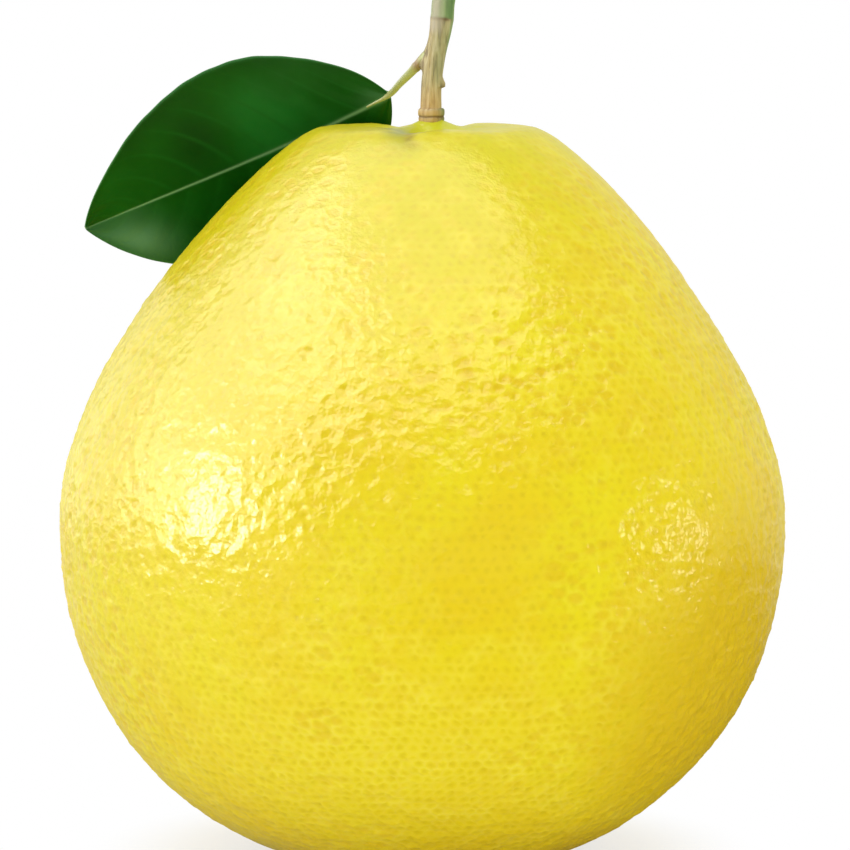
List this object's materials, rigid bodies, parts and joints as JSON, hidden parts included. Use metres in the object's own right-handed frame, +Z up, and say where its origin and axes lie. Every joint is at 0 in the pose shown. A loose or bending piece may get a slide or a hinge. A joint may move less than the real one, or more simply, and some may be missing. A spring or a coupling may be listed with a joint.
{
  "type": "pomelo",
  "caption": "Whole ripe yellow pomelo, pear-shaped with thick pitted rind, short woody stalk on its crown and a glossy green leaf behind the shoulder.",
  "frame": {"origin": "middle of the flat spot that the fruit rests on, on the surface under it", "axes": "+Z up through the fruit from its base to the stalk, -Y the side seen with the leaf to the left, +X to the right"},
  "size_m": [0.16, 0.16, 0.2008],
  "materials": {
    "rind": "waxy yellow rind with sunken oil glands",
    "dry_calyx": "dry tan calyx, matte",
    "woody_stalk": "ribbed tan and green young bark, matte",
    "green_petiole": "smooth yellow-green, satin",
    "leaf": "glossy dark green upper face, paler matte underside"
  },
  "bodies": {
    "root": {"fruit": "rind", "calyx": "dry_calyx", "stalk": "woody_stalk", "leaf_petiole": "green_petiole", "leaf_blade": "leaf"}
  },
  "joints": []
}
